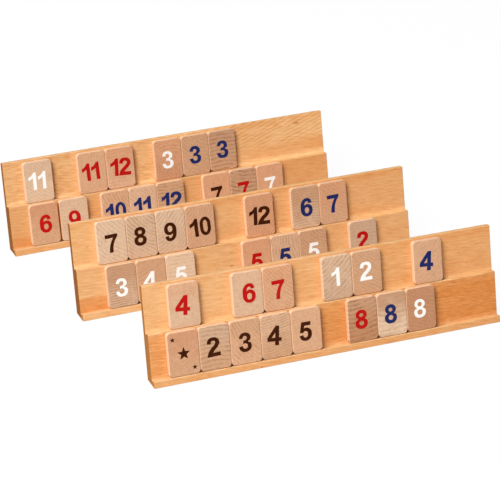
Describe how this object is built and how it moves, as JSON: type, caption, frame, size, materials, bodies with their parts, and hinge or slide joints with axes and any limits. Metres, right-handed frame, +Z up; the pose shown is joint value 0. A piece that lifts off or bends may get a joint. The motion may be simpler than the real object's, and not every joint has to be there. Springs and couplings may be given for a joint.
{
  "type": "rummy tile rack set",
  "caption": "Stepped wooden racks, one behind the other, leaning back on bevelled feet, that hold loose numbered game tiles on an upper and a lower ledge for players to sort.",
  "frame": {"origin": "on the table, below the middle of the whole set", "axes": "+X along the middle rack to its right end as seen by the player, +Y away from the player towards the racks behind, +Z up"},
  "size_m": [0.3314, 0.3028, 0.0741],
  "materials": {
    "rack_wood": "satin clear lacquer",
    "tile_wood": "smooth, thinly waxed"
  },
  "bodies": {
    "root": {"front_rack_back_board": "rack_wood", "front_rack_foot_strip": "rack_wood", "front_rack_left_prop": "rack_wood", "front_rack_right_prop": "rack_wood", "front_rack_step_board": "rack_wood", "middle_rack_back_board": "rack_wood", "middle_rack_foot_strip": "rack_wood", "middle_rack_left_prop": "rack_wood", "middle_rack_right_prop": "rack_wood", "middle_rack_step_board": "rack_wood", "back_rack_back_board": "rack_wood", "back_rack_foot_strip": "rack_wood", "back_rack_left_prop": "rack_wood", "back_rack_right_prop": "rack_wood", "back_rack_step_board": "rack_wood"},
    "front_rack_upper_tile_1": {"front_rack_upper_tile_1": "tile_wood"},
    "front_rack_upper_tile_2": {"front_rack_upper_tile_2": "tile_wood"},
    "front_rack_upper_tile_3": {"front_rack_upper_tile_3": "tile_wood"},
    "front_rack_upper_tile_4": {"front_rack_upper_tile_4": "tile_wood"},
    "front_rack_upper_tile_5": {"front_rack_upper_tile_5": "tile_wood"},
    "front_rack_upper_tile_6": {"front_rack_upper_tile_6": "tile_wood"},
    "front_rack_lower_tile_1": {"front_rack_lower_tile_1": "tile_wood"},
    "front_rack_lower_tile_2": {"front_rack_lower_tile_2": "tile_wood"},
    "front_rack_lower_tile_3": {"front_rack_lower_tile_3": "tile_wood"},
    "front_rack_lower_tile_4": {"front_rack_lower_tile_4": "tile_wood"},
    "front_rack_lower_tile_5": {"front_rack_lower_tile_5": "tile_wood"},
    "front_rack_lower_tile_6": {"front_rack_lower_tile_6": "tile_wood"},
    "front_rack_lower_tile_7": {"front_rack_lower_tile_7": "tile_wood"},
    "front_rack_lower_tile_8": {"front_rack_lower_tile_8": "tile_wood"},
    "middle_rack_upper_tile_1": {"middle_rack_upper_tile_1": "tile_wood"},
    "middle_rack_upper_tile_2": {"middle_rack_upper_tile_2": "tile_wood"},
    "middle_rack_upper_tile_3": {"middle_rack_upper_tile_3": "tile_wood"},
    "middle_rack_upper_tile_4": {"middle_rack_upper_tile_4": "tile_wood"},
    "middle_rack_upper_tile_5": {"middle_rack_upper_tile_5": "tile_wood"},
    "middle_rack_upper_tile_6": {"middle_rack_upper_tile_6": "tile_wood"},
    "middle_rack_upper_tile_7": {"middle_rack_upper_tile_7": "tile_wood"},
    "middle_rack_lower_tile_1": {"middle_rack_lower_tile_1": "tile_wood"},
    "middle_rack_lower_tile_2": {"middle_rack_lower_tile_2": "tile_wood"},
    "middle_rack_lower_tile_3": {"middle_rack_lower_tile_3": "tile_wood"},
    "middle_rack_lower_tile_4": {"middle_rack_lower_tile_4": "tile_wood"},
    "middle_rack_lower_tile_5": {"middle_rack_lower_tile_5": "tile_wood"},
    "middle_rack_lower_tile_6": {"middle_rack_lower_tile_6": "tile_wood"},
    "middle_rack_lower_tile_7": {"middle_rack_lower_tile_7": "tile_wood"},
    "back_rack_upper_tile_1": {"back_rack_upper_tile_1": "tile_wood"},
    "back_rack_upper_tile_2": {"back_rack_upper_tile_2": "tile_wood"},
    "back_rack_upper_tile_3": {"back_rack_upper_tile_3": "tile_wood"},
    "back_rack_upper_tile_4": {"back_rack_upper_tile_4": "tile_wood"},
    "back_rack_upper_tile_5": {"back_rack_upper_tile_5": "tile_wood"},
    "back_rack_upper_tile_6": {"back_rack_upper_tile_6": "tile_wood"},
    "back_rack_lower_tile_1": {"back_rack_lower_tile_1": "tile_wood"},
    "back_rack_lower_tile_2": {"back_rack_lower_tile_2": "tile_wood"},
    "back_rack_lower_tile_3": {"back_rack_lower_tile_3": "tile_wood"},
    "back_rack_lower_tile_4": {"back_rack_lower_tile_4": "tile_wood"},
    "back_rack_lower_tile_5": {"back_rack_lower_tile_5": "tile_wood"},
    "back_rack_lower_tile_6": {"back_rack_lower_tile_6": "tile_wood"},
    "back_rack_lower_tile_7": {"back_rack_lower_tile_7": "tile_wood"},
    "back_rack_lower_tile_8": {"back_rack_lower_tile_8": "tile_wood"}
  },
  "joints": [
    {"name": "front_rack_upper_tile_1_lift", "type": "slide", "parent": "root", "child": "front_rack_upper_tile_1", "axis": [0.0045, 0.2588, 0.9659], "range_m": [0, 0.04]},
    {"name": "front_rack_upper_tile_2_lift", "type": "slide", "parent": "root", "child": "front_rack_upper_tile_2", "axis": [0.0045, 0.2588, 0.9659], "range_m": [0, 0.04]},
    {"name": "front_rack_upper_tile_3_lift", "type": "slide", "parent": "root", "child": "front_rack_upper_tile_3", "axis": [0.0045, 0.2588, 0.9659], "range_m": [0, 0.04]},
    {"name": "front_rack_upper_tile_4_lift", "type": "slide", "parent": "root", "child": "front_rack_upper_tile_4", "axis": [0.0045, 0.2588, 0.9659], "range_m": [0, 0.04]},
    {"name": "front_rack_upper_tile_5_lift", "type": "slide", "parent": "root", "child": "front_rack_upper_tile_5", "axis": [0.0045, 0.2588, 0.9659], "range_m": [0, 0.04]},
    {"name": "front_rack_upper_tile_6_lift", "type": "slide", "parent": "root", "child": "front_rack_upper_tile_6", "axis": [0.0045, 0.2588, 0.9659], "range_m": [0, 0.04]},
    {"name": "front_rack_lower_tile_1_lift", "type": "slide", "parent": "root", "child": "front_rack_lower_tile_1", "axis": [0.0045, 0.2588, 0.9659], "range_m": [0, 0.076]},
    {"name": "front_rack_lower_tile_2_lift", "type": "slide", "parent": "root", "child": "front_rack_lower_tile_2", "axis": [0.0045, 0.2588, 0.9659], "range_m": [0, 0.076]},
    {"name": "front_rack_lower_tile_3_lift", "type": "slide", "parent": "root", "child": "front_rack_lower_tile_3", "axis": [0.0045, 0.2588, 0.9659], "range_m": [0, 0.076]},
    {"name": "front_rack_lower_tile_4_lift", "type": "slide", "parent": "root", "child": "front_rack_lower_tile_4", "axis": [0.0045, 0.2588, 0.9659], "range_m": [0, 0.076]},
    {"name": "front_rack_lower_tile_5_lift", "type": "slide", "parent": "root", "child": "front_rack_lower_tile_5", "axis": [0.0045, 0.2588, 0.9659], "range_m": [0, 0.076]},
    {"name": "front_rack_lower_tile_6_lift", "type": "slide", "parent": "root", "child": "front_rack_lower_tile_6", "axis": [0.0045, 0.2588, 0.9659], "range_m": [0, 0.076]},
    {"name": "front_rack_lower_tile_7_lift", "type": "slide", "parent": "root", "child": "front_rack_lower_tile_7", "axis": [0.0045, 0.2588, 0.9659], "range_m": [0, 0.076]},
    {"name": "front_rack_lower_tile_8_lift", "type": "slide", "parent": "root", "child": "front_rack_lower_tile_8", "axis": [0.0045, 0.2588, 0.9659], "range_m": [0, 0.076]},
    {"name": "middle_rack_upper_tile_1_lift", "type": "slide", "parent": "root", "child": "middle_rack_upper_tile_1", "axis": [0, 0.2588, 0.9659], "range_m": [0, 0.04]},
    {"name": "middle_rack_upper_tile_2_lift", "type": "slide", "parent": "root", "child": "middle_rack_upper_tile_2", "axis": [0, 0.2588, 0.9659], "range_m": [0, 0.04]},
    {"name": "middle_rack_upper_tile_3_lift", "type": "slide", "parent": "root", "child": "middle_rack_upper_tile_3", "axis": [0, 0.2588, 0.9659], "range_m": [0, 0.04]},
    {"name": "middle_rack_upper_tile_4_lift", "type": "slide", "parent": "root", "child": "middle_rack_upper_tile_4", "axis": [0, 0.2588, 0.9659], "range_m": [0, 0.04]},
    {"name": "middle_rack_upper_tile_5_lift", "type": "slide", "parent": "root", "child": "middle_rack_upper_tile_5", "axis": [0, 0.2588, 0.9659], "range_m": [0, 0.04]},
    {"name": "middle_rack_upper_tile_6_lift", "type": "slide", "parent": "root", "child": "middle_rack_upper_tile_6", "axis": [0, 0.2588, 0.9659], "range_m": [0, 0.04]},
    {"name": "middle_rack_upper_tile_7_lift", "type": "slide", "parent": "root", "child": "middle_rack_upper_tile_7", "axis": [0, 0.2588, 0.9659], "range_m": [0, 0.04]},
    {"name": "middle_rack_lower_tile_1_lift", "type": "slide", "parent": "root", "child": "middle_rack_lower_tile_1", "axis": [0, 0.2588, 0.9659], "range_m": [0, 0.076]},
    {"name": "middle_rack_lower_tile_2_lift", "type": "slide", "parent": "root", "child": "middle_rack_lower_tile_2", "axis": [0, 0.2588, 0.9659], "range_m": [0, 0.076]},
    {"name": "middle_rack_lower_tile_3_lift", "type": "slide", "parent": "root", "child": "middle_rack_lower_tile_3", "axis": [0, 0.2588, 0.9659], "range_m": [0, 0.076]},
    {"name": "middle_rack_lower_tile_4_lift", "type": "slide", "parent": "root", "child": "middle_rack_lower_tile_4", "axis": [0, 0.2588, 0.9659], "range_m": [0, 0.076]},
    {"name": "middle_rack_lower_tile_5_lift", "type": "slide", "parent": "root", "child": "middle_rack_lower_tile_5", "axis": [0, 0.2588, 0.9659], "range_m": [0, 0.076]},
    {"name": "middle_rack_lower_tile_6_lift", "type": "slide", "parent": "root", "child": "middle_rack_lower_tile_6", "axis": [0, 0.2588, 0.9659], "range_m": [0, 0.076]},
    {"name": "middle_rack_lower_tile_7_lift", "type": "slide", "parent": "root", "child": "middle_rack_lower_tile_7", "axis": [0, 0.2588, 0.9659], "range_m": [0, 0.076]},
    {"name": "back_rack_upper_tile_1_lift", "type": "slide", "parent": "root", "child": "back_rack_upper_tile_1", "axis": [-0.0032, 0.2588, 0.9659], "range_m": [0, 0.04]},
    {"name": "back_rack_upper_tile_2_lift", "type": "slide", "parent": "root", "child": "back_rack_upper_tile_2", "axis": [-0.0032, 0.2588, 0.9659], "range_m": [0, 0.04]},
    {"name": "back_rack_upper_tile_3_lift", "type": "slide", "parent": "root", "child": "back_rack_upper_tile_3", "axis": [-0.0032, 0.2588, 0.9659], "range_m": [0, 0.04]},
    {"name": "back_rack_upper_tile_4_lift", "type": "slide", "parent": "root", "child": "back_rack_upper_tile_4", "axis": [-0.0032, 0.2588, 0.9659], "range_m": [0, 0.04]},
    {"name": "back_rack_upper_tile_5_lift", "type": "slide", "parent": "root", "child": "back_rack_upper_tile_5", "axis": [-0.0032, 0.2588, 0.9659], "range_m": [0, 0.04]},
    {"name": "back_rack_upper_tile_6_lift", "type": "slide", "parent": "root", "child": "back_rack_upper_tile_6", "axis": [-0.0032, 0.2588, 0.9659], "range_m": [0, 0.04]},
    {"name": "back_rack_lower_tile_1_lift", "type": "slide", "parent": "root", "child": "back_rack_lower_tile_1", "axis": [-0.0032, 0.2588, 0.9659], "range_m": [0, 0.076]},
    {"name": "back_rack_lower_tile_2_lift", "type": "slide", "parent": "root", "child": "back_rack_lower_tile_2", "axis": [-0.0032, 0.2588, 0.9659], "range_m": [0, 0.076]},
    {"name": "back_rack_lower_tile_3_lift", "type": "slide", "parent": "root", "child": "back_rack_lower_tile_3", "axis": [-0.0032, 0.2588, 0.9659], "range_m": [0, 0.076]},
    {"name": "back_rack_lower_tile_4_lift", "type": "slide", "parent": "root", "child": "back_rack_lower_tile_4", "axis": [-0.0032, 0.2588, 0.9659], "range_m": [0, 0.076]},
    {"name": "back_rack_lower_tile_5_lift", "type": "slide", "parent": "root", "child": "back_rack_lower_tile_5", "axis": [-0.0032, 0.2588, 0.9659], "range_m": [0, 0.076]},
    {"name": "back_rack_lower_tile_6_lift", "type": "slide", "parent": "root", "child": "back_rack_lower_tile_6", "axis": [-0.0032, 0.2588, 0.9659], "range_m": [0, 0.076]},
    {"name": "back_rack_lower_tile_7_lift", "type": "slide", "parent": "root", "child": "back_rack_lower_tile_7", "axis": [-0.0032, 0.2588, 0.9659], "range_m": [0, 0.076]},
    {"name": "back_rack_lower_tile_8_lift", "type": "slide", "parent": "root", "child": "back_rack_lower_tile_8", "axis": [-0.0032, 0.2588, 0.9659], "range_m": [0, 0.076]}
  ]
}
